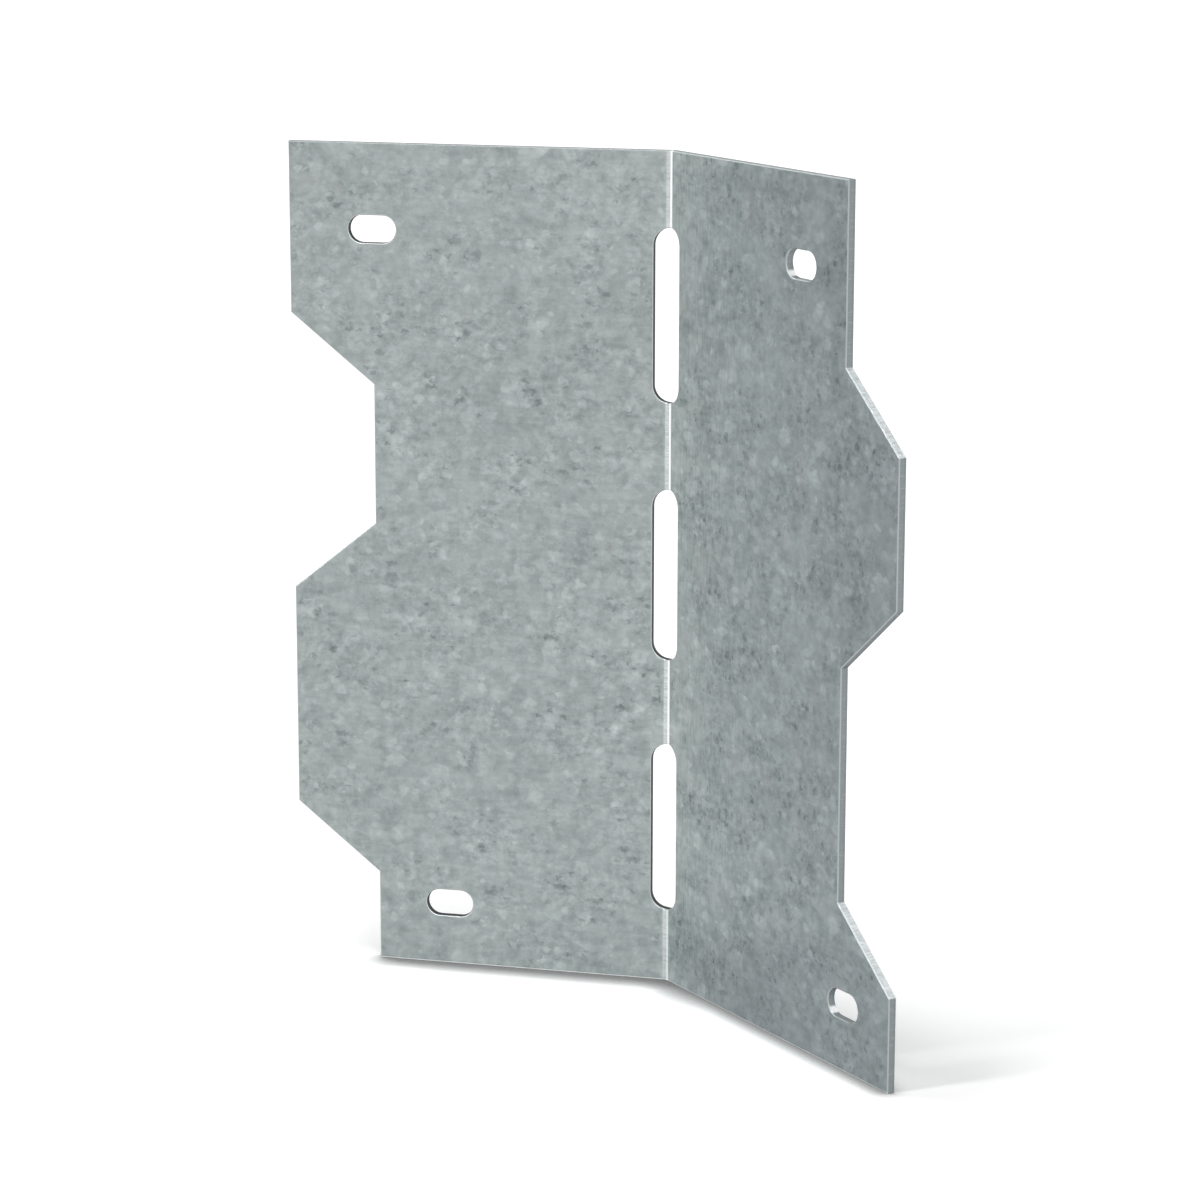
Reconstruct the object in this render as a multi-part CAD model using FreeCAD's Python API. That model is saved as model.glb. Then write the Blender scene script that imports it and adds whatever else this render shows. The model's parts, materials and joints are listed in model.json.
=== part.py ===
import FreeCAD, Part
import math
import os

# A reinforcing angle, punched from galvanised steel sheet and folded once along its length.
# The origin is where the two outer faces would meet in a sharp corner, at the bottom edge.
# +Z runs up the fold. The left leg lies along -X with its outer face in the plane Y = 0,
# and the right leg turns towards -Y by the fold angle. Millimetres and degrees.

# Sheet and fold
thickness = 1.25
fold_angle = 45.0
fold_inner_radius = 1.5
neutral_share = 0.4
edge_break = 0.15

# Legs, measured along the outer face from the sharp corner. Both edges step in and out between
# a wide and a narrow land, and one leg is wide where the other is narrow.
wide_leg = 57.9
step_run = 12.7

# Heights of the lands from the top down, with a sloping step below each but the last
top_land = 25.25
upper_land = 20.8
lower_land = 33.3
bottom_land = 13.575
step_rise = 10.3

# Obround fastener holes, long across the leg. A margin runs from a hole's centre to the free edge.
hole_length = 7.2
hole_width = 4.05
top_row_depth = 12.6
bottom_row_height = 9.45
left_top_margin = 12.7
left_bottom_margin = 11.1
right_top_margin = 11.1
right_bottom_margin = 11.1

# Relief slots along the fold, as punched in the flat sheet
slot_count = 3
slot_length = 25.4
slot_width = 5.1
slot_pitch = 38.15

# Derived sizes
narrow_leg = wide_leg - step_run
height = top_land + upper_land + lower_land + bottom_land + 3 * step_rise
half_fold = math.radians(fold_angle / 2)
fold_outer_radius = fold_inner_radius + thickness
tangent_length = fold_outer_radius * math.tan(half_fold)
neutral_radius = fold_inner_radius + neutral_share * thickness
flat_centre_offset = tangent_length - neutral_radius * half_fold
slot_radius = slot_width / 2
overrun = thickness
fold_axis = FreeCAD.Vector(-tangent_length, -fold_outer_radius, 0)

ORIGIN = FreeCAD.Vector(0, 0, 0)
ACROSS = FreeCAD.Vector(1, 0, 0)
INWARD = FreeCAD.Vector(0, -1, 0)
UP = FreeCAD.Vector(0, 0, 1)
LEFT, RIGHT = -1, 1


def turned(shape):
    """The shape carried round the fold with the right leg."""
    copy = shape.copy()
    copy.rotate(ORIGIN, UP, -fold_angle)
    return copy


def leg(side, first_width, second_width):
    """The flat part of one leg. Its free edge starts at first_width at the top and then alternates."""
    level = height
    here, there = first_width, second_width
    corners = [FreeCAD.Vector(side * tangent_length, 0, level), FreeCAD.Vector(side * here, 0, level)]
    for land in (top_land, upper_land, lower_land):
        level -= land
        corners.append(FreeCAD.Vector(side * here, 0, level))
        level -= step_rise
        corners.append(FreeCAD.Vector(side * there, 0, level))
        here, there = there, here
    corners.append(FreeCAD.Vector(side * here, 0, 0))
    corners.append(FreeCAD.Vector(side * tangent_length, 0, 0))
    outline = Part.makePolygon(corners + corners[:1])
    return Part.Face(outline).extrude(INWARD * thickness)


def around_fold(radius, angle, z):
    """A point of the fold. angle is 0 at the left tangent line and fold_angle at the right one."""
    turn = math.radians(angle)
    return fold_axis + FreeCAD.Vector(radius * math.sin(turn), radius * math.cos(turn), z)


def fold():
    """The curved strip between the two legs' tangent lines."""
    angles = (0, fold_angle / 2, fold_angle)
    outer = [around_fold(fold_outer_radius, angle, 0) for angle in angles]
    inner = [around_fold(fold_inner_radius, angle, 0) for angle in angles]
    section = Part.Wire([
        Part.Arc(outer[0], outer[1], outer[2]).toShape(),
        Part.makeLine(outer[2], inner[2]),
        Part.Arc(inner[2], inner[1], inner[0]).toShape(),
        Part.makeLine(inner[0], outer[0]),
    ])
    return Part.Face(section).extrude(UP * height)


def obround(x, z, length, width, direction):
    """A cutter through a leg: a slot with round ends, centred on x and z and long along direction."""
    radius = width / 2
    centre = FreeCAD.Vector(x, 0, z) - INWARD * overrun
    along = direction * (length / 2 - radius)
    tip = direction * radius
    beside = direction.cross(INWARD) * radius
    start, end = centre - along, centre + along
    outline = Part.Wire([
        Part.makeLine(start + beside, end + beside),
        Part.Arc(end + beside, end + tip, end - beside).toShape(),
        Part.makeLine(end - beside, start - beside),
        Part.Arc(start - beside, start - tip, start + beside).toShape(),
    ])
    return Part.Face(outline).extrude(INWARD * (thickness + 2 * overrun))


def fastener_hole(side, leg_width, margin, z):
    """The cutter of a fastener hole, margin in from the free edge of its land."""
    return obround(side * (leg_width - margin), z, hole_length, hole_width, ACROSS)


def fastener_holes():
    """The cutters of the four fastener holes, one in each corner."""
    top_row = height - top_row_depth
    return [
        fastener_hole(LEFT, wide_leg, left_top_margin, top_row),
        fastener_hole(LEFT, narrow_leg, left_bottom_margin, bottom_row_height),
        turned(fastener_hole(RIGHT, narrow_leg, right_top_margin, top_row)),
        turned(fastener_hole(RIGHT, wide_leg, right_bottom_margin, bottom_row_height)),
    ]


def beyond_tangent(side):
    """The space beyond a leg's tangent line, which keeps a leg's cutter off the fold."""
    reach = wide_leg + thickness
    start = tangent_length if side == RIGHT else -tangent_length - reach
    return Part.makeBox(reach, 2 * reach, height, FreeCAD.Vector(start, -reach, 0))


def slot_across_fold(z):
    """The part of a relief slot on the fold. Its ends are the punched round ends bent with the sheet,
    so they stay square to its faces and meet the ends in the legs."""
    inner = fold_inner_radius / 2
    outer = fold_outer_radius + overrun
    stations = 8
    sections = []
    for station in range(stations + 1):
        angle = fold_angle * station / stations
        from_middle = neutral_radius * math.radians(angle - fold_angle / 2)
        end_drop = slot_radius - math.sqrt(slot_radius ** 2 - from_middle ** 2)
        low = z - slot_length / 2 + end_drop
        high = z + slot_length / 2 - end_drop
        corners = [
            around_fold(inner, angle, low),
            around_fold(outer, angle, low),
            around_fold(outer, angle, high),
            around_fold(inner, angle, high),
        ]
        sections.append(Part.makePolygon(corners + corners[:1]))
    return Part.makeLoft(sections, True, False)


def relief_slots():
    """The cutters of the relief slots, centred on the fold's height. Each has one in either leg and
    one on the fold between them."""
    cutters = []
    for number in range(slot_count):
        z = height / 2 + (number - (slot_count - 1) / 2) * slot_pitch
        left = obround(LEFT * flat_centre_offset, z, slot_length, slot_width, UP)
        right = obround(RIGHT * flat_centre_offset, z, slot_length, slot_width, UP)
        cutters.append(left.common(beyond_tangent(LEFT)))
        cutters.append(slot_across_fold(z))
        cutters.append(turned(right.common(beyond_tangent(RIGHT))))
    return cutters


def is_sheet_face(face):
    """Whether a face is one of the sheet's own two sides: flat on the legs, round on the fold."""
    surface = face.Surface
    if isinstance(surface, Part.Cylinder):
        return surface.Axis.cross(UP).Length < 1e-6
    normals = (INWARD, FreeCAD.Rotation(UP, -fold_angle).multVec(INWARD))
    return isinstance(surface, Part.Plane) and any(surface.Axis.cross(n).Length < 1e-6 for n in normals)


def sheared_edges(shape):
    """The edges where the sheet's sides meet the cut walls, which a punch leaves slightly broken."""
    sides = [face for face in shape.Faces if is_sheet_face(face)]
    edges = []
    for edge in shape.Edges:
        meeting = sum(any(edge.isSame(other) for other in side.Edges) for side in sides)
        if meeting == 1:
            edges.append(edge)
    return edges


def angle_plate():
    """The whole plate: two legs and the fold in one, then the holes, the slots and the broken edges."""
    left = leg(LEFT, wide_leg, narrow_leg)
    right = turned(leg(RIGHT, narrow_leg, wide_leg))
    plate = left.fuse([fold(), right])
    for cutter in fastener_holes() + relief_slots():
        plate = plate.cut(cutter)
    plate = plate.removeSplitter()
    return plate.makeChamfer(edge_break, sheared_edges(plate)).Solids[0]


os.makedirs("parts", exist_ok=True)
plate = angle_plate()
plate.exportStep("parts/angle_plate.step")
print("angle_plate: valid", plate.isValid(), "faces", len(plate.Faces), "volume", round(plate.Volume, 1))
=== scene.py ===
import json
import math

import bpy
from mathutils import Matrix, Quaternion, Vector


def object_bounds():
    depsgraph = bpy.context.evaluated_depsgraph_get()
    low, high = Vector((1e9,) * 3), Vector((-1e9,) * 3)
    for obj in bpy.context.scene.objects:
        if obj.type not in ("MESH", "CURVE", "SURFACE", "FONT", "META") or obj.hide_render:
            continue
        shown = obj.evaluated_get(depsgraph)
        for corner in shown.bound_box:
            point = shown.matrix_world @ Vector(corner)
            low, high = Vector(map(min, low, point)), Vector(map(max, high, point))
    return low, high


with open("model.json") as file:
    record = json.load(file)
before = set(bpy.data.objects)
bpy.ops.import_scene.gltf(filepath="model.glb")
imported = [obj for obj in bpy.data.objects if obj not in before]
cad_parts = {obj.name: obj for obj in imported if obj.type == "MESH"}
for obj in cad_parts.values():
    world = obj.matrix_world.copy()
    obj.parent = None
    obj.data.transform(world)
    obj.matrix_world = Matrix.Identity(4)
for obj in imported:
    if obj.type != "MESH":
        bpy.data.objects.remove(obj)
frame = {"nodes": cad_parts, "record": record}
cad_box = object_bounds()

MM = 0.001

# The folded sheet, in millimetres. Its two outer faces would meet in a sharp corner above the origin.
THICKNESS = 1.25
FOLD_ANGLE = math.radians(45)
FOLD_INNER_RADIUS = 1.5
FOLD_OUTER_RADIUS = FOLD_INNER_RADIUS + THICKNESS
FOLD_NEUTRAL_RADIUS = 2.0
CORNER_TO_FOLD = FOLD_OUTER_RADIUS * math.tan(FOLD_ANGLE / 2)
FOLD_AXIS = (-CORNER_TO_FOLD, -FOLD_OUTER_RADIUS, 0.0)
LEFT_LEG = (1.0, 0.0, 0.0)
RIGHT_LEG = (math.cos(FOLD_ANGLE), -math.sin(FOLD_ANGLE), 0.0)
LEG_REACH = -cad_box[0][0] / MM - CORNER_TO_FOLD
HALF_HEIGHT = cad_box[1][2] / MM / 2

# What counts as around an opening: a round patch on a fastener hole's centre, and a strip to each side of
# the fold that ends short of the top and bottom. Both fade at their edges.
HOLE_SURROUND = 5.5
SLOT_SURROUND = 4.5
SLOT_END_MARGIN = 6.0
SURROUND_FADE = 0.5

# Linear colours of the zinc, of the fold's burnish with its painted sheen, and of painted highlights
ZINC_DARK = (0.129, 0.155, 0.154, 1.0)
ZINC_LIGHT = (0.480, 0.530, 0.523, 1.0)
ZINC_NEUTRAL = (0.400, 0.405, 0.400, 1.0)
BURNISH_AND_SHEEN = (0.62, 0.64, 0.64, 1.0)
HIGHLIGHT = (0.95, 0.96, 0.96, 1.0)
WHITE = (1.0, 1.0, 1.0, 1.0)

# Tints that multiply the zinc of the right leg, from the fold to its free edge: painted light near the
# fold and painted shade towards the free edge
LIT_NEAR_FOLD = (1.34, 1.34, 1.325, 1.0)
SHADED_TO_FREE_EDGE = (0.69, 0.702, 0.737, 1.0)

# Linear colours of the sheared walls. The dark one also paints shade on the left leg's top, the brightest
# is a painted sheen on the upward slopes, and the last is painted shade in the slots and the left leg's
# holes
WALL = (0.240, 0.268, 0.278, 1.0)
WALL_DARK = (0.180, 0.200, 0.210, 1.0)
WALL_LIGHT = (0.38, 0.41, 0.42, 1.0)
WALL_SHEEN = (0.64, 0.67, 0.68, 1.0)
SHADED_WALL = (0.090, 0.100, 0.105, 1.0)

# Linear colours of the broken edges: plain, with painted shade where they face up, and with a painted
# highlight on the rims round the left leg's openings
BROKEN_EDGE = (0.40, 0.43, 0.43, 1.0)
SHADED_UP_EDGE = (0.23, 0.25, 0.25, 1.0)
RIM_HIGHLIGHT = (0.80, 0.83, 0.83, 1.0)

# How strongly the sheared walls reflect at a glancing angle, beside the sheet's own two sides; the lower
# value in the slots and the left leg's holes adds to their painted shade
WALL_GLANCE = (0.5, 0.5, 0.5, 1.0)
SHADED_WALL_GLANCE = (0.10, 0.10, 0.10, 1.0)

# How far the zinc's grain is drawn out along each leg, and how far it shifts through the sheet, so that
# the two sides differ
LEFT_GRAIN = 1.1
RIGHT_GRAIN = 1.2
GRAIN_SHIFT = 40.0

# How far from the fold one leg's finish fades into the other's
LEG_FADE = 0.5

# Layers of cloudy noise: waves to a millimetre, finer detail in octaves, and weight
BROAD_CLOUDS = ((0.045, 0.0, 0.14), (0.13, 1.0, 0.12), (0.5, 0.0, 0.3))
FINE_CLOUDS = ((1.0, 1.0, 1.0), (3.0, 0.0, 0.3))

# Where the zinc is busy, and the weight of the fine clouds where it is calm and what busy zinc adds
BUSY_WAVES = 0.12
BUSY_RANGE = (-0.15, 0.15)
CALM_CLOUDS = 0.35
BUSY_CLOUDS = 0.3

# Lines from rolling on the left leg and from folding on the right: waves to a millimetre across the sheet
# and up it, their weight, and how far from the fold the latter fade
ROLLED_WAVES = (0.3, 1.6, 0.0)
ROLLED_WEIGHT = 0.13
FOLDED_WAVES = (3.0, 0.3, 0.0)
FOLDED_WEIGHT = 0.3
FOLDED_REACH = (34.0, 2.0)

# Pale crystals: cells to a millimetre, the share of cells with a spot, the spots' radius in cells, and
# how much the cells' own tones and the spots lighten the zinc. Waves bend their outlines by millimetres,
# and a spot is full in its core and no fainter than a share.
PALE_CRYSTALS = ((0.27, 0.7, 0.45, 0.05, 0.15), (0.60, 0.45, 0.52, 0.13, 0.18))
CRYSTAL_WAVES = 0.75
CRYSTAL_BEND = 1.1
SPOT_CORE = 0.5
FAINTEST_SPOT = 0.4

# Dark flecks: cells to a millimetre, the share of cells with a fleck and the flecks' radius in cells.
# Each leg squeezes the cells across the sheet by a factor, which below 1 draws them out. Waves bend them,
# and they are fainter where the zinc is calm.
DARK_FLECKS = ((0.6, 0.4, 0.42), (1.25, 0.28, 0.44))
LEFT_SQUEEZE = 0.5
RIGHT_SQUEEZE = 1.1
FLECK_WAVES = 1.8
FLECK_BEND = 0.9
CALM_FLECKS = 0.2

# The zinc's tone, from 0 for dark to 1 for light, and what moves it
MIDDLE_TONE = 0.463
CLOUD_WEIGHT = 0.6
FLECK_WEIGHT = -0.27
RIGHT_CONTRAST = 0.15
NEUTRAL_WAVES = 0.2
NEUTRAL_RANGE = (0.12, 0.3)
NEUTRAL_SHARE = 0.2

# Between which heights the right leg darkens to its bottom and to its top, by how much, and how unevenly
BOTTOM_DARKENED = (22.0, 3.0)
BOTTOM_DARKENING = 0.42
TOP_DARKENED = (80.0, 115.0)
TOP_DARKENING = 0.12
UNEVEN_WAVES = 0.12
UNEVEN_DARKENING = 0.4

# How squarely a surface faces out of the sheet, and how far it faces up, for each kind of surface: where
# the kind begins and is full, and for some where it fades and is gone
WALL_FACING = (0.6, 0.4)
CHAMFER_FACING = (0.4, 0.6, 0.9, 0.97)
TOP_RISE = (0.9, 0.98)
SLOPE_RISE = (0.45, 0.65, 0.85, 0.95)
UPPER_EDGE_RISE = (0.6, 0.68)
LOWER_EDGE_RISE = (-0.6, -0.68)
BOTTOM_EDGE_HEIGHT = (1.0, 0.5)

# The sheared walls: lines to a millimetre across, through and up the sheet, how ragged they make the torn
# part, how deep it lies and its share, and which lines are pale on plain and on sloping walls
SHEAR_WAVES = (5.0, 0.7, 5.0)
RAGGEDNESS = 0.35
TORN_DEPTH = (0.55, 0.35)
TORN_SHARE = 0.45
PALE_LINES = (0.0, 0.5)
BRIGHT_LINES = (-0.3, 0.3)

# The broken edges: from what depth from the sheet's sides the walls' painted shade covers them round the
# left leg's openings, and how much of their own colour shows elsewhere
SHADED_EDGE_DEPTH = (0.05, 0.10)
CHAMFER_SHARE = 0.8

# The bend: the angles that are burnished and carry a painted sheen, the streaks across it, how far from
# halfway up they are full and how strong they are at its ends, and the angles and heights of the painted
# highlight line up its inside
BEND = (0.01, 0.06, FOLD_ANGLE - 0.06, FOLD_ANGLE - 0.01)
STREAK_WAVES = 0.5
STREAK_SQUEEZE = 9.0
STREAK_WEIGHT = 1.6
MEAN_BURNISH_AND_SHEEN = 0.6
BURNISH_AND_SHEEN_FADE = (60.0, 45.0)
BURNISH_AND_SHEEN_AT_ENDS = 0.7
INSIDE_DEPTH = (0.6, 0.7)
BRIGHT_LINE = (FOLD_ANGLE * 0.56, FOLD_ANGLE * 0.64)
BRIGHT_LINE_HEIGHT = (10.0, 40.0)
BRIGHT_LINE_AT_FOOT = 0.5

# The surface's gloss, and its relief in waves to a millimetre and metres
METALLIC = 0.7
ROUGHNESS = 0.5
CLOUD_ROUGHNESS = -0.12
FLECK_ROUGHNESS = 0.1
BURNISHED_ROUGHNESS = -0.18
CUT_ROUGHNESS = -0.15
RELIEF_WAVES = 1.6
RELIEF_DEPTH = 0.000012

# The floor, and the light that it and the backdrop give off
FLOOR_SIDE = 6.0
FLOOR_COLOUR = (0.8, 0.8, 0.8, 1.0)
FLOOR_GLOW = 0.06
BACKDROP_LIGHT = 0.2

# The contact shadow on the floor: where in X it passes from the left leg to the right one, how far in
# front of each it shows, in metres, and how deep it is
LEGS_MEET = (0.0, 0.01)
LEFT_CONTACT = 0.005
RIGHT_CONTACT = 0.003
LEFT_CONTACT_DEPTH = 1.6
RIGHT_CONTACT_DEPTH = 1.4
DARKEST_CONTACT = 0.12

# Soft lights from far off: name, azimuth, elevation and width in degrees, and strength. The key light is
# a tall strip of five.
LIGHTS = (
    ("top_light", 21, 84, 24, 0.34),
    ("left_light", -109, 42, 30, 0.36),
    ("front_light", 30, 30, 40, 0.37),
)
KEY_ELEVATIONS = (19, 24, 29, 35, 42)
KEY_AZIMUTH = -54
KEY_WIDTH = 8
KEY_STRENGTH = 0.37

# The camera's place and aim in millimetres, its roll in degrees, and its lens and film in millimetres
CAMERA_PLACE = (119.9, -520.0, 176.4)
CAMERA_AIM = (-8.58, -10.0, 59.66)
CAMERA_ROLL = 0.08
LENS = 111.86
FILM_WIDTH = 36.0


class Graph:
    """A material's node tree, built one node per call. A plain value or a socket goes into any input."""

    def __init__(self, material):
        material.use_nodes = True
        self.tree = material.node_tree
        self.tree.nodes.clear()

    def fill(self, socket, value):
        if isinstance(value, bpy.types.NodeSocket):
            self.tree.links.new(value, socket)
        else:
            socket.default_value = value

    def add(self, kind, inputs=(), output=0, **settings):
        node = self.tree.nodes.new(kind)
        for name, value in settings.items():
            setattr(node, name, value)
        for key, value in dict(inputs).items():
            self.fill(node.inputs[key], value)
        return node.outputs[output]

    def math(self, operation, *values, clamp=False):
        return self.add("ShaderNodeMath", enumerate(values), operation=operation, use_clamp=clamp)

    def times(self, first, second):
        return self.math("MULTIPLY", first, second)

    def plus(self, base, value, weight=1.0, clamp=False):
        """The base with a weighted value added to it."""
        return self.math("MULTIPLY_ADD", value, weight, base, clamp=clamp)

    def minus(self, first, second):
        return self.math("SUBTRACT", first, second)

    def either(self, first, second):
        """The larger of two shares."""
        return self.math("MAXIMUM", first, second)

    def vector(self, operation, *values, output=0):
        return self.add("ShaderNodeVectorMath", enumerate(values), output, operation=operation)

    def scaled(self, vector, factor):
        return self.add("ShaderNodeVectorMath", {0: vector, "Scale": factor}, operation="SCALE")

    def along(self, vector, direction):
        """How far a vector runs in a direction."""
        return self.vector("DOT_PRODUCT", vector, direction, output=1)

    def parts(self, vector):
        node = self.add("ShaderNodeSeparateXYZ", {0: vector}).node
        return node.outputs[0], node.outputs[1], node.outputs[2]

    def joined(self, x, y, z):
        return self.add("ShaderNodeCombineXYZ", {0: x, 1: y, 2: z})

    def noise(self, where, waves, detail=0.0, dimensions="2D"):
        """Smooth noise centred on 0, about -0.5 to 0.5."""
        inputs = {"Vector": where, "Scale": waves, "Detail": detail}
        value = self.add("ShaderNodeTexNoise", inputs, noise_dimensions=dimensions)
        return self.minus(value, 0.5)

    def layered(self, where, layers):
        """Noise of several scales, added up."""
        total = 0.0
        for waves, detail, weight in layers:
            total = self.plus(total, self.noise(where, waves, detail), weight)
        return total

    def step(self, value, low, high):
        """0 below low, 1 above high and a soft ramp between. low may be above high to turn it round."""
        inputs = {"Value": value, "From Min": low, "From Max": high}
        return self.add("ShaderNodeMapRange", inputs, interpolation_type="SMOOTHSTEP")

    def between(self, value, low, full, fading, gone):
        """1 from full to fading, and a soft ramp down to 0 at low and at gone."""
        return self.times(self.step(value, low, full), self.step(value, gone, fading))

    def mix(self, share, first, second):
        node = self.tree.nodes.new("ShaderNodeMix")
        node.data_type = "RGBA"
        first_colour, second_colour = [s for s in node.inputs if s.type == "RGBA"]
        self.fill(node.inputs["Factor"], share)
        self.fill(first_colour, first)
        self.fill(second_colour, second)
        return next(s for s in node.outputs if s.type == "RGBA")

    def show(self, shader, kind="ShaderNodeOutputMaterial"):
        self.tree.links.new(shader, self.tree.nodes.new(kind).inputs["Surface"])


class Sheet:
    """Where a point of the plate lies in the flat sheet, in millimetres, and how its surface faces. The
    finish is laid out on the flat sheet and folded with it."""

    def __init__(self, graph):
        here = graph.add("ShaderNodeTexCoord", output="Object")
        local = graph.vector("SUBTRACT", graph.scaled(here, 1 / MM), FOLD_AXIS)
        level = graph.vector("MULTIPLY", local, (1.0, 1.0, 0.0))
        left = graph.math("MINIMUM", graph.along(level, LEFT_LEG), 0.0)
        right = graph.math("MAXIMUM", graph.along(level, RIGHT_LEG), 0.0)
        on_legs = graph.vector("ADD", graph.scaled(LEFT_LEG, left), graph.scaled(RIGHT_LEG, right))
        from_axis = graph.vector("SUBTRACT", level, on_legs)
        x, y, _ = graph.parts(from_axis)

        # The angle round the fold, the distance from it along the legs, left negative, and the height
        self.turn = graph.math("ARCTAN2", x, y)
        self.reach = graph.plus(left, right)
        self.height = graph.parts(local)[2]
        self.across = graph.plus(self.reach, self.turn, FOLD_NEUTRAL_RADIUS)
        self.from_middle = graph.math("ABSOLUTE", graph.minus(self.height, HALF_HEIGHT))
        self.on_right = graph.step(self.reach, -LEG_FADE, LEG_FADE)
        self.on_left = graph.minus(1.0, self.on_right)

        # The depth into the sheet from its outer side, how squarely the surface faces out of the sheet,
        # and how far it faces up
        self.depth = graph.minus(FOLD_OUTER_RADIUS, graph.vector("LENGTH", from_axis, output=1))
        normal = graph.add("ShaderNodeTexCoord", output="Normal")
        outward = graph.vector("NORMALIZE", from_axis)
        self.facing = graph.math("ABSOLUTE", graph.along(outward, normal))
        self.rise = graph.parts(normal)[2]

        # The place in the zinc's grain, and how busy the grain is there
        drawn_left = graph.math("DIVIDE", left, LEFT_GRAIN)
        drawn_right = graph.math("DIVIDE", right, RIGHT_GRAIN)
        aside = graph.times(self.depth, GRAIN_SHIFT)
        grain = graph.plus(graph.plus(drawn_left, drawn_right), aside)
        self.grain = graph.joined(grain, graph.plus(self.height, aside), 0.0)
        self.busy = graph.step(graph.noise(self.grain, BUSY_WAVES, detail=1.0), *BUSY_RANGE)


def clouds_of(graph, sheet):
    """The cloudy grey of the zinc, in patches from a fraction of a millimetre to 8 mm wide."""
    broad = graph.layered(sheet.grain, BROAD_CLOUDS)
    fine = graph.layered(sheet.grain, FINE_CLOUDS)
    return graph.plus(broad, fine, graph.plus(CALM_CLOUDS, sheet.busy, BUSY_CLOUDS))


def drawn_lines(graph, sheet):
    """Faint lines: level ones from rolling on the left leg, upright ones near the fold on the right."""
    rolled = graph.noise(graph.vector("MULTIPLY", sheet.grain, ROLLED_WAVES), 1.0, detail=1.0)
    folded = graph.noise(graph.vector("MULTIPLY", sheet.grain, FOLDED_WAVES), 1.0, detail=1.0)
    near_fold = graph.times(sheet.on_right, graph.step(sheet.reach, *FOLDED_REACH))
    left = graph.times(sheet.on_left, graph.times(rolled, ROLLED_WEIGHT))
    return graph.plus(left, graph.times(folded, FOLDED_WEIGHT), near_fold)


def crystals(graph, where, cells, share, radius):
    """Crystals of zinc, one in each cell of an uneven grid. Gives each cell's tone, centred on 0, and a
    soft round spot in a share of the cells, each spot of its own size and strength."""
    inputs = {"Vector": where, "Scale": cells, "Randomness": 1.0}
    grid = graph.add("ShaderNodeTexVoronoi", inputs, voronoi_dimensions="2D").node
    tone, size, strength = graph.parts(grid.outputs["Color"])
    rim = graph.times(graph.step(size, 1.0 - share, 1.0), radius)
    spot = graph.step(grid.outputs["Distance"], rim, graph.times(rim, SPOT_CORE))
    spot = graph.times(spot, graph.plus(FAINTEST_SPOT, strength, 1.0 - FAINTEST_SPOT))
    return graph.minus(tone, 0.5), spot


def spangle(graph, sheet):
    """Pale crystals 1 to 3 mm wide with uneven outlines, among ones that are hardly lighter or darker."""
    inputs = {"Vector": sheet.grain, "Scale": CRYSTAL_WAVES, "Detail": 1.0}
    waves = graph.add("ShaderNodeTexNoise", inputs, output=1, noise_dimensions="2D")
    drift = graph.scaled(graph.vector("SUBTRACT", waves, (0.5, 0.5, 0.5)), CRYSTAL_BEND)
    bent = graph.vector("ADD", sheet.grain, drift)
    change = 0.0
    for cells, share, radius, tone_weight, spot_weight in PALE_CRYSTALS:
        tone, spot = crystals(graph, bent, cells, share, radius)
        change = graph.plus(change, tone, tone_weight)
        change = graph.plus(change, spot, spot_weight)
    return change


def flecks_of(graph, sheet):
    """Small dark flecks, longer across the sheet than up it, and thicker where the zinc is busy."""
    across, up, _ = graph.parts(sheet.grain)
    squeeze = graph.plus(LEFT_SQUEEZE, sheet.on_right, RIGHT_SQUEEZE - LEFT_SQUEEZE)
    bent = graph.plus(up, graph.noise(sheet.grain, FLECK_WAVES), FLECK_BEND)
    where = graph.joined(graph.times(across, squeeze), bent, 0.0)
    flecks = 0.0
    for cells, share, radius in DARK_FLECKS:
        _, fleck = crystals(graph, where, cells, share, radius)
        flecks = graph.either(flecks, fleck)
    return graph.times(flecks, graph.plus(CALM_FLECKS, sheet.busy, 1.0 - CALM_FLECKS))


def zinc_of(graph, sheet, clouds, flecks):
    """The zinc of both sides of the sheet, with neutral grey patches."""
    change = graph.plus(spangle(graph, sheet), clouds, CLOUD_WEIGHT)
    change = graph.plus(change, drawn_lines(graph, sheet))
    change = graph.plus(change, flecks, FLECK_WEIGHT)
    contrast = graph.plus(1.0, sheet.on_right, RIGHT_CONTRAST)
    tone = graph.plus(MIDDLE_TONE, change, contrast, clamp=True)
    neutral = graph.step(graph.noise(sheet.grain, NEUTRAL_WAVES), *NEUTRAL_RANGE)
    neutral = graph.times(neutral, NEUTRAL_SHARE)
    return graph.mix(neutral, graph.mix(tone, ZINC_DARK, ZINC_LIGHT), ZINC_NEUTRAL)


def surface_colour(graph, sheet, clouds, flecks):
    """The zinc, with painted light near the right leg's fold and painted shade to its free edge. The leg
    is also darker to its top and bottom.
    """
    zinc = zinc_of(graph, sheet, clouds, flecks)
    # Painted shade from the fold to the free edge, and darker to the top and bottom, with uneven edges
    right_leg_darkening = graph.math("SQRT", graph.math("DIVIDE", sheet.reach, LEG_REACH, clamp=True))
    right_leg_darkening = graph.plus(right_leg_darkening, graph.step(sheet.height, *BOTTOM_DARKENED), BOTTOM_DARKENING)
    right_leg_darkening = graph.plus(right_leg_darkening, graph.step(sheet.height, *TOP_DARKENED), TOP_DARKENING)
    uneven = graph.noise(sheet.grain, UNEVEN_WAVES, detail=1.0)
    right_leg_darkening = graph.plus(right_leg_darkening, uneven, UNEVEN_DARKENING, clamp=True)
    tint = graph.mix(right_leg_darkening, LIT_NEAR_FOLD, SHADED_TO_FREE_EDGE)
    return graph.mix(sheet.on_right, zinc, graph.vector("MULTIPLY", zinc, tint))


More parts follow.
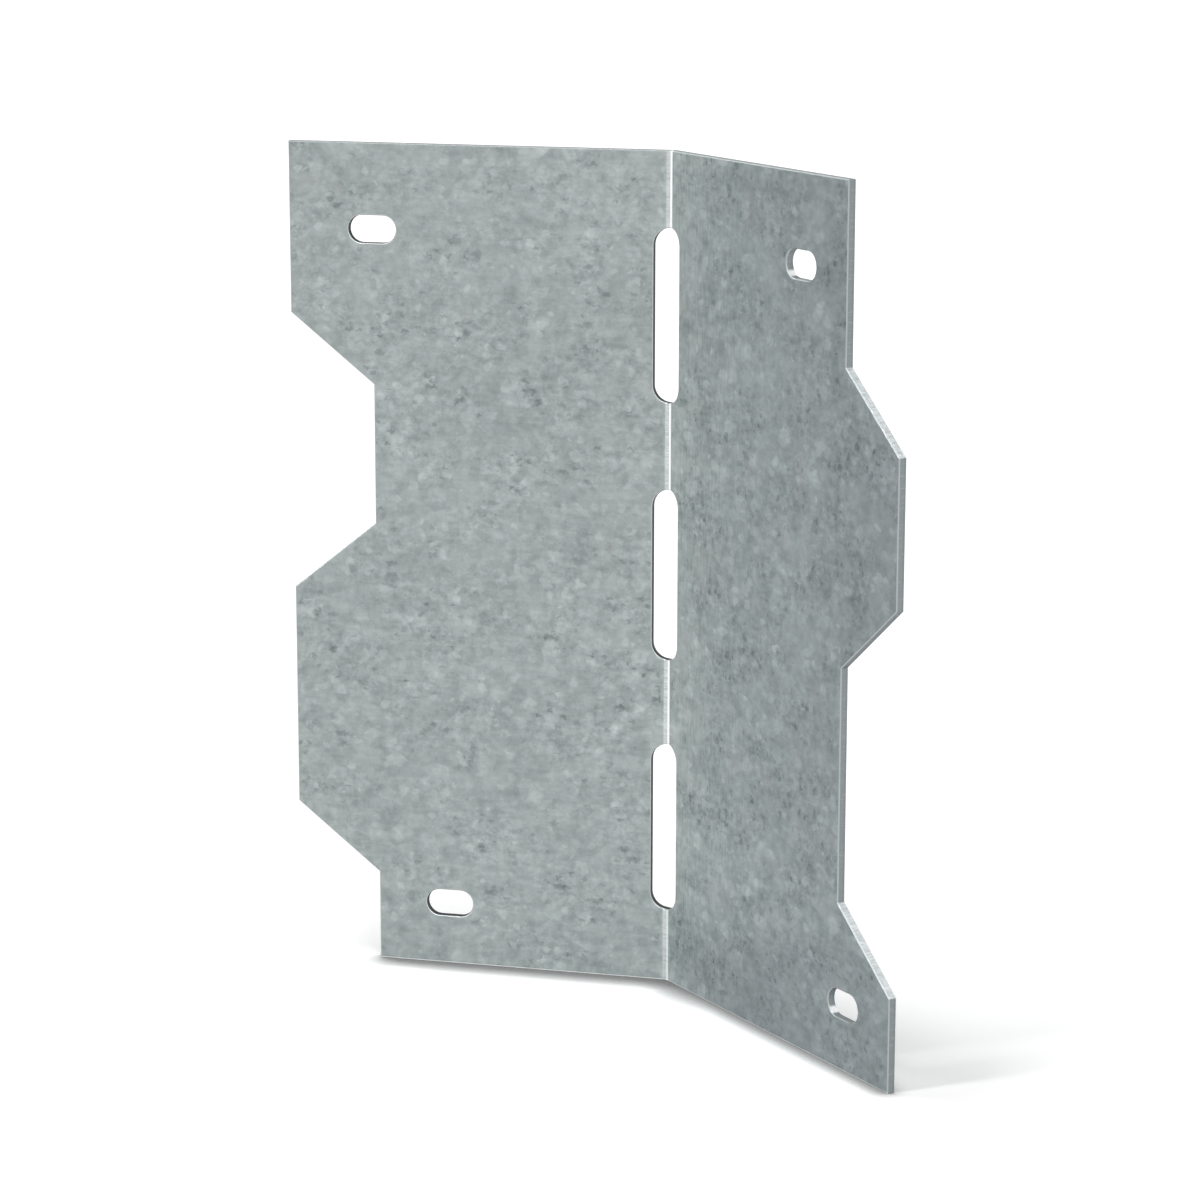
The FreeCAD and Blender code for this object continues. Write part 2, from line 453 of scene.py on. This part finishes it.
def hole_centres():
    """How far along its leg from the fold's axis each fastener hole is, left negative, and how high."""
    for mount in frame["record"]["mounts"]:
        if mount["name"].endswith("_hole"):
            leg = LEFT_LEG if mount["name"].startswith("left") else RIGHT_LEG
            place = Vector(mount["pos_m"]) / MM - Vector(FOLD_AXIS)
            yield place.dot(Vector(leg)), place.z


def openings(graph, sheet):
    """1 on and around the relief slots, and 1 around the fastener holes."""
    from_fold = graph.math("ABSOLUTE", sheet.reach)
    beside_fold = graph.step(from_fold, SLOT_SURROUND, SLOT_SURROUND - SURROUND_FADE)
    end = HALF_HEIGHT - SLOT_END_MARGIN
    slots = graph.times(beside_fold, graph.step(sheet.from_middle, end, end - 2 * SURROUND_FADE))
    here = graph.joined(sheet.reach, 0.0, sheet.height)
    holes = 0.0
    for reach, height in hole_centres():
        apart = graph.vector("DISTANCE", here, (reach, 0.0, height), output=1)
        hole = graph.step(apart, HOLE_SURROUND, HOLE_SURROUND - SURROUND_FADE)
        holes = graph.either(holes, hole)
    return slots, holes


def wall_colour(graph, sheet, holes, shaded_walls):
    """The sheared walls: smooth where the tool cut, darker and ragged where the sheet broke away. Painted
    shade darkens the left leg's top and makes the slots and the left leg's holes darkest, and the sloping
    steps that face up carry a painted sheen, made a painted highlight round the fastener holes."""
    place = graph.joined(sheet.across, sheet.depth, sheet.height)
    place = graph.vector("MULTIPLY", place, SHEAR_WAVES)
    lines = graph.noise(place, 1.0, detail=2.0, dimensions="3D")
    torn = graph.step(graph.plus(sheet.depth, lines, RAGGEDNESS), *TORN_DEPTH)
    plain = graph.mix(graph.times(torn, TORN_SHARE), WALL, WALL_DARK)
    plain = graph.mix(graph.step(lines, *PALE_LINES), plain, WALL_LIGHT)
    # Painted shade on the left leg's top
    top = graph.times(graph.step(sheet.rise, *TOP_RISE), sheet.on_left)
    plain = graph.mix(top, plain, WALL_DARK)
    # Painted sheen on upward slopes, painted highlight round fastener holes, painted shade in dark
    # openings
    sloping = graph.between(sheet.rise, *SLOPE_RISE)
    bright = graph.mix(graph.step(lines, *BRIGHT_LINES), WALL_LIGHT, WALL_SHEEN)
    bright = graph.mix(holes, bright, HIGHLIGHT)
    return graph.mix(shaded_walls, graph.mix(sloping, plain, bright), SHADED_WALL)


def edge_colour(graph, sheet, left_rims):
    """The broken edges: with painted shade where they face up, and painted highlights round the openings
    of the left leg and along the bottom."""
    # Painted shade where the edges face up, painted highlights on the left rims and along the bottom
    facing_up = graph.step(sheet.rise, *UPPER_EDGE_RISE)
    facing_down = graph.step(sheet.rise, *LOWER_EDGE_RISE)
    bottom = graph.times(facing_down, graph.step(sheet.height, *BOTTOM_EDGE_HEIGHT))
    edge = graph.mix(facing_up, BROKEN_EDGE, SHADED_UP_EDGE)
    edge = graph.mix(left_rims, edge, RIM_HIGHLIGHT)
    return graph.mix(bottom, edge, HIGHLIGHT)


def bend_of(graph, sheet):
    """Burnish and painted sheen on the bend, in streaks fading to its ends, and a painted highlight up its
    inside.
    """
    folded = graph.between(sheet.turn, *BEND)
    place = graph.joined(sheet.across, graph.times(sheet.height, STREAK_SQUEEZE), 0.0)
    streaks = graph.noise(place, STREAK_WAVES, detail=1.0)
    streaks = graph.plus(MEAN_BURNISH_AND_SHEEN, streaks, STREAK_WEIGHT)
    burnish_and_sheen = graph.math("MULTIPLY", folded, streaks, clamp=True)
    full = graph.step(sheet.from_middle, *BURNISH_AND_SHEEN_FADE)
    burnish_and_sheen = graph.times(burnish_and_sheen, graph.plus(BURNISH_AND_SHEEN_AT_ENDS, full, 1.0 - BURNISH_AND_SHEEN_AT_ENDS))
    inside = graph.times(folded, graph.step(sheet.depth, *INSIDE_DEPTH))
    line = graph.times(inside, graph.step(sheet.turn, *BRIGHT_LINE))
    full = graph.step(sheet.height, *BRIGHT_LINE_HEIGHT)
    line = graph.times(line, graph.plus(BRIGHT_LINE_AT_FOOT, full, 1.0 - BRIGHT_LINE_AT_FOOT))
    return burnish_and_sheen, line


def galvanised_steel(material):
    """Galvanised steel sheet with sheared walls, broken edges and a burnished fold, and painted light and
    shade.
    """
    graph = Graph(material)
    sheet = Sheet(graph)
    clouds = clouds_of(graph, sheet)
    flecks = flecks_of(graph, sheet)
    burnish_and_sheen, bright_line = bend_of(graph, sheet)
    slots, holes = openings(graph, sheet)
    left_rims = graph.times(graph.either(slots, holes), sheet.on_left)
    # The walls that get painted shade: the slots and the left leg's openings
    shaded_walls = graph.either(slots, left_rims)

    # The inner half of a broken edge looks like the wall in the left leg's openings, carrying its painted
    # shade
    walls = graph.step(sheet.facing, *WALL_FACING)
    chamfers = graph.between(sheet.facing, *CHAMFER_FACING)
    from_side = graph.math("MINIMUM", sheet.depth, graph.minus(THICKNESS, sheet.depth))
    shaded_edge = graph.times(left_rims, graph.step(from_side, *SHADED_EDGE_DEPTH))
    walls = graph.either(walls, graph.times(chamfers, shaded_edge))
    chamfers = graph.times(chamfers, graph.minus(1.0, shaded_edge))

    colour = surface_colour(graph, sheet, clouds, flecks)
    # Painted sheen on the burnished bend, and a painted highlight up its inside
    colour = graph.mix(burnish_and_sheen, colour, BURNISH_AND_SHEEN)
    colour = graph.mix(bright_line, colour, HIGHLIGHT)
    colour = graph.mix(walls, colour, wall_colour(graph, sheet, holes, shaded_walls))
    broken = graph.times(chamfers, CHAMFER_SHARE)
    colour = graph.mix(broken, colour, edge_colour(graph, sheet, left_rims))

    roughness = graph.plus(ROUGHNESS, clouds, CLOUD_ROUGHNESS)
    roughness = graph.plus(roughness, flecks, FLECK_ROUGHNESS)
    roughness = graph.plus(roughness, burnish_and_sheen, BURNISHED_ROUGHNESS)
    roughness = graph.plus(roughness, graph.either(walls, chamfers), CUT_ROUGHNESS)

    # The slots and the left leg's holes reflect less, as part of their painted shade
    glance = graph.mix(walls, WHITE, graph.mix(shaded_walls, WALL_GLANCE, SHADED_WALL_GLANCE))
    relief = graph.noise(sheet.grain, RELIEF_WAVES, detail=1.0)
    inputs = {"Strength": 1.0, "Distance": RELIEF_DEPTH, "Height": relief}
    bump = graph.add("ShaderNodeBump", inputs)
    shader = graph.add(
        "ShaderNodeBsdfPrincipled",
        {
            "Base Color": colour,
            "Metallic": METALLIC,
            "Roughness": roughness,
            "Specular Tint": glance,
            "Normal": bump,
        },
    )
    graph.show(shader)


def contact_shadow(graph):
    """1 on the open floor, and darker close in front of each leg. It shows to the camera alone."""
    x, _, _ = graph.parts(graph.add("ShaderNodeTexCoord", output="Object"))
    under_right = graph.step(x, *LEGS_MEET)
    distance = graph.plus(LEFT_CONTACT, under_right, RIGHT_CONTACT - LEFT_CONTACT)
    depth = graph.plus(LEFT_CONTACT_DEPTH, under_right, RIGHT_CONTACT_DEPTH - LEFT_CONTACT_DEPTH)

    # What stands above and behind a point of the floor shades it, so nothing shows behind the legs
    leaning_back = graph.joined(0.0, 0.7, 0.7)
    inputs = {"Distance": distance, "Normal": leaning_back}
    open_share = graph.add("ShaderNodeAmbientOcclusion", inputs, output=1, samples=4)
    closed = graph.times(graph.minus(1.0, open_share), depth)
    contact = graph.math("SUBTRACT", 1.0, closed, clamp=True)
    contact = graph.plus(DARKEST_CONTACT, contact, 1.0 - DARKEST_CONTACT)
    seen_directly = graph.add("ShaderNodeLightPath").node.outputs["Is Camera Ray"]
    return graph.either(contact, graph.minus(1.0, seen_directly))


def looked_at(graph):
    """1 for the rays that show the background: to the camera, by a reflection or through glass."""
    path = graph.add("ShaderNodeLightPath").node
    shown = graph.either(path.outputs["Is Camera Ray"], path.outputs["Is Glossy Ray"])
    return graph.either(shown, path.outputs["Is Transmission Ray"])


def white_floor(material):
    """Plain white, which stays white to the camera and keeps the object's shadow."""
    graph = Graph(material)
    plain = graph.add("ShaderNodeBsdfDiffuse", {"Color": FLOOR_COLOUR})
    contact = contact_shadow(graph)
    shaded = graph.joined(contact, contact, contact)
    bright = graph.add("ShaderNodeBsdfDiffuse", {"Color": shaded})
    glow = graph.add("ShaderNodeEmission", {"Color": shaded, "Strength": FLOOR_GLOW})
    seen = graph.add("ShaderNodeAddShader", {0: bright, 1: glow})
    graph.show(graph.add("ShaderNodeMixShader", {0: looked_at(graph), 1: plain, 2: seen}))


def floor():
    """A plain square floor round the origin."""
    half = FLOOR_SIDE / 2
    corners = [(-half, -half, 0.0), (half, -half, 0.0), (half, half, 0.0), (-half, half, 0.0)]
    mesh = bpy.data.meshes.new("floor")
    mesh.from_pydata(corners, [], [(0, 1, 2, 3)])
    material = bpy.data.materials.new("white_floor")
    white_floor(material)
    mesh.materials.append(material)
    piece = bpy.data.objects.new("floor", mesh)
    bpy.context.scene.collection.objects.link(piece)


def white_world():
    """A white backdrop that gives the object only a part of its light."""
    world = bpy.data.worlds.new("white_world")
    bpy.context.scene.world = world
    graph = Graph(world)
    backdrop = graph.add("ShaderNodeBackground", {"Color": WHITE, "Strength": 1.0})
    ambient = graph.add("ShaderNodeBackground", {"Color": WHITE, "Strength": BACKDROP_LIGHT})
    surface = graph.add("ShaderNodeMixShader", {0: looked_at(graph), 1: ambient, 2: backdrop})
    graph.show(surface, "ShaderNodeOutputWorld")


def studio_light(name, azimuth, elevation, width, strength):
    """A soft light from far off. Azimuth 0 is in front of the left leg and grows to the right. A
    strength of 1 lights a white surface that faces it to white."""
    across = math.radians(azimuth)
    up = math.radians(elevation)
    level = math.cos(up)
    towards = Vector((math.sin(across) * level, -math.cos(across) * level, math.sin(up)))
    light = bpy.data.lights.new(name, "SUN")
    light.angle = math.radians(width)
    light.energy = math.pi * strength
    lamp = bpy.data.objects.new(name, light)
    lamp.location = towards
    lamp.rotation_mode = "QUATERNION"
    lamp.rotation_quaternion = (-towards).to_track_quat("-Z", "Y")
    bpy.context.scene.collection.objects.link(lamp)


def studio_lights():
    for light in LIGHTS:
        studio_light(*light)
    for elevation in KEY_ELEVATIONS:
        name = f"key_light_{elevation}"
        studio_light(name, KEY_AZIMUTH, elevation, KEY_WIDTH, KEY_STRENGTH / len(KEY_ELEVATIONS))


def camera():
    """The viewpoint, slightly right of the left leg's front and above it."""
    place = Vector(CAMERA_PLACE) * MM
    aim = Vector(CAMERA_AIM) * MM
    roll = Quaternion((0, 0, 1), math.radians(CAMERA_ROLL))
    data = bpy.data.cameras.new("camera")
    data.sensor_width = FILM_WIDTH
    data.lens = LENS
    eye = bpy.data.objects.new("camera", data)
    eye.location = place
    eye.rotation_mode = "QUATERNION"
    eye.rotation_quaternion = (aim - place).to_track_quat("-Z", "Y") @ roll
    bpy.context.scene.collection.objects.link(eye)
    bpy.context.scene.camera = eye


camera()
galvanised_steel(frame["nodes"]["angle_plate"].data.materials[0])
floor()
white_world()
studio_lights()
bpy.context.scene.view_settings.view_transform = "Standard"
